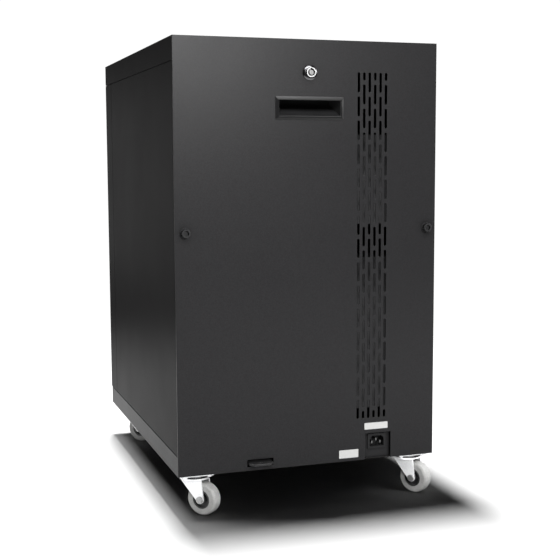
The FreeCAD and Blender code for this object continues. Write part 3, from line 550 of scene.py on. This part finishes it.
def add_cup(node, turn):
    """A moulded cup in place of a handle node, turned from lying along X to the node's own way."""
    low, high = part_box(node)
    size = high - low
    rings, inside = cup_rings(max(size.x, size.z), min(size.x, size.z))
    piece = lofted(node + "_moulding", rings, [CUP_BEZEL, CUP_INSIDE], inside)
    face_y = low.y + CUP_SEAT if low.y < 0 else high.y - CUP_SEAT
    piece.matrix_world = Matrix.Translation((low.x + size.x / 2, face_y, low.z + size.z / 2)) @ turn
    shade_by_angle(piece.data, CUP_SHARP_ANGLE)
    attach(piece, nodes[node]["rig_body"])
    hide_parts(node)
    return piece


cups = [
    add_cup("rear_handle_cup", Matrix.Identity(4)),
    add_cup(
        "front_handle_cup", Matrix.Rotation(math.pi, 4, "Z") @ Matrix.Rotation(math.pi / 2, 4, "Y")),
]


# Blank labels

def add_label(name, edges):
    left, right, bottom, top = edges
    panel_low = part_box("rear_panel")[0]
    half = (right - left) / 2
    rise = (top - bottom) / 2
    steps = ((0.0, 0.0), (0.0, LABEL_THICKNESS / 2), (LABEL_THICKNESS, LABEL_THICKNESS))
    rings = []
    for inset, lift in steps:
        rings.append(rounded_rectangle(half - inset, inset - rise, rise - inset, LABEL_CORNER, -lift))
    piece = lofted(name, rings, [PAPER])
    piece.location = ((left + right) / 2, panel_low.y, panel_low.z + (bottom + top) / 2)
    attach(piece, "rear_panel")


add_label("inlet_label", INLET_LABEL)
add_label("plain_sticker", PLAIN_STICKER)


# Floor, light and camera

def collected(name, pieces):
    group = bpy.data.collections.new(name)
    for piece in pieces:
        group.objects.link(piece)
    return group


def make_floor():
    bpy.ops.mesh.primitive_circle_add(vertices=FLOOR_SIDES, radius=FLOOR_RADIUS, fill_type="NGON")
    floor = bpy.context.object
    floor.name = "studio_floor"
    floor.data.materials.append(studio_floor("studio_floor"))
    return floor


def area_light(name, place, aim, size, power, lit):
    """A soft box that lights one group only, so the floor takes shadows from its own lights."""
    data = bpy.data.lights.new(name, "AREA")
    data.shape = "ELLIPSE"
    data.size, data.size_y = size
    data.energy = power
    light = bpy.data.objects.new(name, data)
    light.location = place
    light.rotation_euler = (Vector(aim) - Vector(place)).to_track_quat("-Z", "Y").to_euler()
    light.visible_camera = False
    light.light_linking.receiver_collection = lit
    bpy.context.scene.collection.objects.link(light)


def make_world():
    """A dim room with a white backdrop."""
    world = bpy.data.worlds.new("studio")
    world.use_nodes = True
    tree = world.node_tree
    background = tree.nodes["Background"]
    background.inputs["Color"].default_value = (1.0, 1.0, 1.0, 1.0)
    ray = tree.nodes.new("ShaderNodeLightPath")
    bright = spread(tree, ray.outputs["Is Camera Ray"], ROOM_BRIGHT, BACKDROP_BRIGHT, 0.0, 1.0)
    tree.links.new(bright, background.inputs["Strength"])
    bpy.context.scene.world = world


def make_camera():
    forward = Vector((
        math.sin(CAMERA_YAW) * math.cos(CAMERA_PITCH),
        math.cos(CAMERA_YAW) * math.cos(CAMERA_PITCH),
        -math.sin(CAMERA_PITCH),
    ))
    level = Vector((math.cos(CAMERA_YAW), -math.sin(CAMERA_YAW), 0.0))
    upward = level.cross(forward)
    right = math.cos(CAMERA_ROLL) * level + math.sin(CAMERA_ROLL) * upward
    up = math.cos(CAMERA_ROLL) * upward - math.sin(CAMERA_ROLL) * level
    turn = Matrix((right, up, -forward)).transposed().to_4x4()
    data = bpy.data.cameras.new("camera")
    data.lens = CAMERA_LENS
    data.sensor_width = CAMERA_SENSOR
    camera = bpy.data.objects.new("camera", data)
    camera.matrix_world = Matrix.Translation(CAMERA_PLACE) @ turn
    bpy.context.scene.collection.objects.link(camera)
    bpy.context.scene.camera = camera


pieces = [piece for piece in bpy.context.scene.objects if piece.type == "MESH"]
flat_pieces = [piece for piece in pieces if piece not in cups and piece != nodes["top_cover"]]
lit_groups = {
    "all_pieces": pieces,
    "key_pieces": flat_pieces,
    "low_pieces": [piece for piece in flat_pieces if "_lock_" not in piece.name],
    "right_forks": [piece for name, piece in nodes.items() if name.endswith("right_fork")],
    "modules": [nodes[name] for name in MODULE_SHELLS],
    "floor_alone": [make_floor()],
}
groups = {name: collected(name, members) for name, members in lit_groups.items()}
make_world()
for light_name, (place, aim, size, power, lit) in LIGHTS.items():
    area_light(light_name, place, aim, size, power, groups[lit])
make_camera()
bpy.context.scene.view_settings.view_transform = "Standard"
